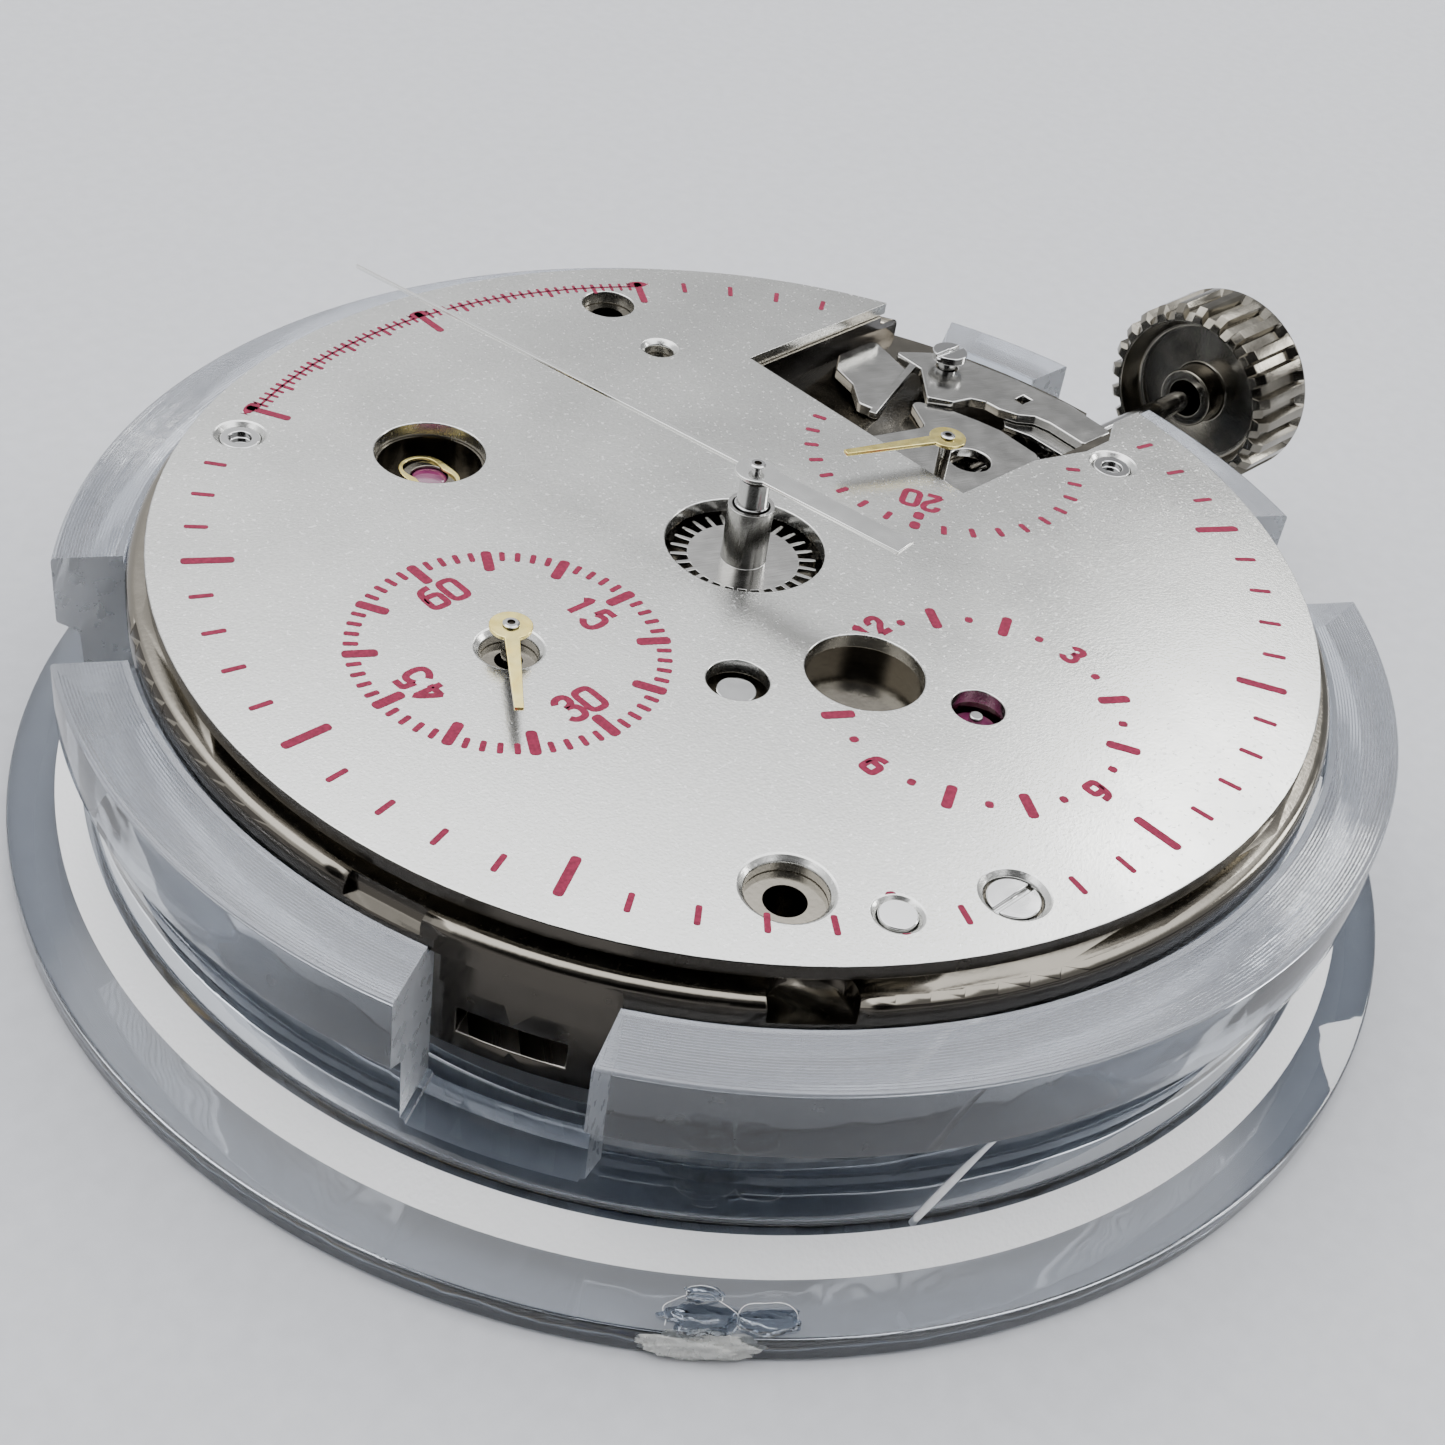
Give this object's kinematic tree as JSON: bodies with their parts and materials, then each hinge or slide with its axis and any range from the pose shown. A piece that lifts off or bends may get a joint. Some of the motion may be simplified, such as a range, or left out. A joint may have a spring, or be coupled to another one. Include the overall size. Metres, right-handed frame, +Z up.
{
  "type": "watch movement holder",
  "caption": "Clear moulded ring that holds a hand-wound chronograph movement dial side up, with hands fitted and stem and crown at 3 o'clock",
  "frame": {"origin": "centre of the holder's underside, on the movement's centre axis", "axes": "+Z up out of the dial side, +X towards the crown at 3 o'clock, +Y towards 12 o'clock"},
  "size_m": [0.0424, 0.0382, 0.0108],
  "materials": {
    "clear_styrene": "clear moulded polystyrene, turned on its top face",
    "rhodium_plate": "nickel-plated brass, polished rim",
    "dial_plate_silver": "satin nickel plate with printed scales",
    "polished_steel": "mirror-polished steel",
    "grained_steel": "stamped and grained steel",
    "nickel_crown": "polished nickel, fluted",
    "gilt_hands": "pale gilt, bright",
    "ruby": "polished synthetic ruby",
    "gilt_brass": "gilt brass, circular grained",
    "blued_steel": "heat-blued steel"
  },
  "bodies": {
    "holder": {"holder_ring": "clear_styrene"},
    "movement": {"main_plate": "rhodium_plate", "dial_plate": "dial_plate_silver", "dial_plate_screw": "polished_steel", "dial_plate_rivets": "polished_steel", "locating_studs": "polished_steel", "hour_counter_jewel": "ruby", "shock_block": "polished_steel", "shock_jewel": "ruby", "shock_spring": "gilt_hands", "keyless_cover": "grained_steel", "setting_lever_jumper": "grained_steel", "setting_lever_screw": "polished_steel", "minute_train_cover": "grained_steel", "yoke_spring": "grained_steel", "minute_wheel_stud": "polished_steel", "barrel_bridge": "rhodium_plate", "train_bridge": "rhodium_plate", "chronograph_base_bridge": "rhodium_plate", "balance_cock": "rhodium_plate", "chronograph_bridge": "rhodium_plate", "bridge_screws": "blued_steel", "bridge_jewels": "ruby", "coupling_arbor": "polished_steel", "crown_wheel_screw": "blued_steel", "column_wheel_screw": "blued_steel"},
    "stem_carrier": {"setting_lever": "polished_steel"},
    "winding": {"winding_stem": "polished_steel", "crown": "nickel_crown"},
    "clutch": {"clutch_wheel": "polished_steel", "winding_pinion": "polished_steel"},
    "crown_wheel_body": {"crown_wheel": "grained_steel"},
    "ratchet": {"ratchet_wheel": "grained_steel", "ratchet_screw": "blued_steel"},
    "hour_body": {"hour_wheel": "polished_steel"},
    "cannon_body": {"cannon_pinion": "polished_steel"},
    "minute_body": {"minute_wheel": "gilt_brass"},
    "chronograph_seconds": {"chronograph_arbor": "polished_steel", "chronograph_seconds_hand": "polished_steel", "chronograph_runner": "gilt_brass"},
    "small_seconds": {"small_seconds_arbor": "polished_steel", "small_seconds_hand": "gilt_hands", "fourth_driver_wheel": "gilt_brass"},
    "coupling": {"coupling_wheel": "gilt_brass"},
    "minute_counter": {"minute_counter_arbor": "polished_steel", "minute_counter_hand": "gilt_hands", "minute_recorder_wheel": "gilt_brass"},
    "hour_counter": {"hour_counter_arbor": "polished_steel"},
    "balance": {"balance_wheel": "gilt_brass", "balance_staff": "polished_steel", "hairspring": "blued_steel"},
    "column": {"column_wheel": "polished_steel"}
  },
  "joints": [
    {"name": "lift_out", "type": "slide", "parent": "holder", "child": "movement", "axis": [0, 0, 1], "range_m": [0, 0.015]},
    {"name": "stem_pull", "type": "slide", "parent": "movement", "child": "stem_carrier", "axis": [1, 0, 0], "range_m": [0, 0.001]},
    {"name": "stem_turn", "type": "hinge", "parent": "stem_carrier", "child": "winding", "pos_m": [0.012, 0, 0.0063], "axis": [1, 0, 0], "continuous": true},
    {"name": "clutch_turn", "type": "hinge", "parent": "movement", "child": "clutch", "pos_m": [0.011, 0, 0.0063], "axis": [1, 0, 0], "continuous": true},
    {"name": "crown_wheel_turn", "type": "hinge", "parent": "movement", "child": "crown_wheel_body", "pos_m": [0.0118, 0.0026, 0.005], "axis": [0, 0, 1], "continuous": true},
    {"name": "ratchet_turn", "type": "hinge", "parent": "movement", "child": "ratchet", "pos_m": [0.0068, 0.0072, 0.005], "axis": [0, 0, 1], "continuous": true},
    {"name": "cannon_turn", "type": "hinge", "parent": "movement", "child": "cannon_body", "pos_m": [0, 0, 0.005], "axis": [0, 0, 1], "continuous": true},
    {"name": "minute_wheel_turn", "type": "hinge", "parent": "movement", "child": "minute_body", "pos_m": [0.00157, 0.00157, 0.005], "axis": [0, 0, 1], "continuous": true},
    {"name": "hour_wheel_turn", "type": "hinge", "parent": "movement", "child": "hour_body", "pos_m": [0, 0, 0.005], "axis": [0, 0, 1], "continuous": true},
    {"name": "chronograph_seconds_turn", "type": "hinge", "parent": "movement", "child": "chronograph_seconds", "pos_m": [0, 0, 0.005], "axis": [0, 0, 1], "continuous": true},
    {"name": "small_seconds_turn", "type": "hinge", "parent": "movement", "child": "small_seconds", "pos_m": [-0.00791, 0, 0.005], "axis": [0, 0, 1], "continuous": true},
    {"name": "coupling_wheel_turn", "type": "hinge", "parent": "movement", "child": "coupling", "pos_m": [-0.00492, -0.00218, 0.005], "axis": [0, 0, 1], "continuous": true},
    {"name": "minute_counter_turn", "type": "hinge", "parent": "movement", "child": "minute_counter", "pos_m": [0.00791, 0, 0.005], "axis": [0, 0, 1], "continuous": true},
    {"name": "hour_counter_turn", "type": "hinge", "parent": "movement", "child": "hour_counter", "pos_m": [0.00002, -0.0082, 0.005], "axis": [0, 0, 1], "continuous": true},
    {"name": "balance_swing", "type": "hinge", "parent": "movement", "child": "balance", "pos_m": [-0.00428, 0.0079, 0.005], "axis": [0, 0, 1], "range_deg": [-270, 270]},
    {"name": "column_wheel_turn", "type": "hinge", "parent": "movement", "child": "column", "pos_m": [-0.0096, -0.008, 0.005], "axis": [0, 0, 1], "continuous": true}
  ],
  "couplings": [
    {"joint": "clutch_turn", "follows": "stem_turn", "ratio": 1},
    {"joint": "crown_wheel_turn", "follows": "stem_turn", "ratio": -0.5},
    {"joint": "ratchet_turn", "follows": "stem_turn", "ratio": 0.29167},
    {"joint": "minute_wheel_turn", "follows": "cannon_turn", "ratio": -0.33333},
    {"joint": "hour_wheel_turn", "follows": "cannon_turn", "ratio": 0.083333},
    {"joint": "coupling_wheel_turn", "follows": "small_seconds_turn", "ratio": -1.8462}
  ]
}
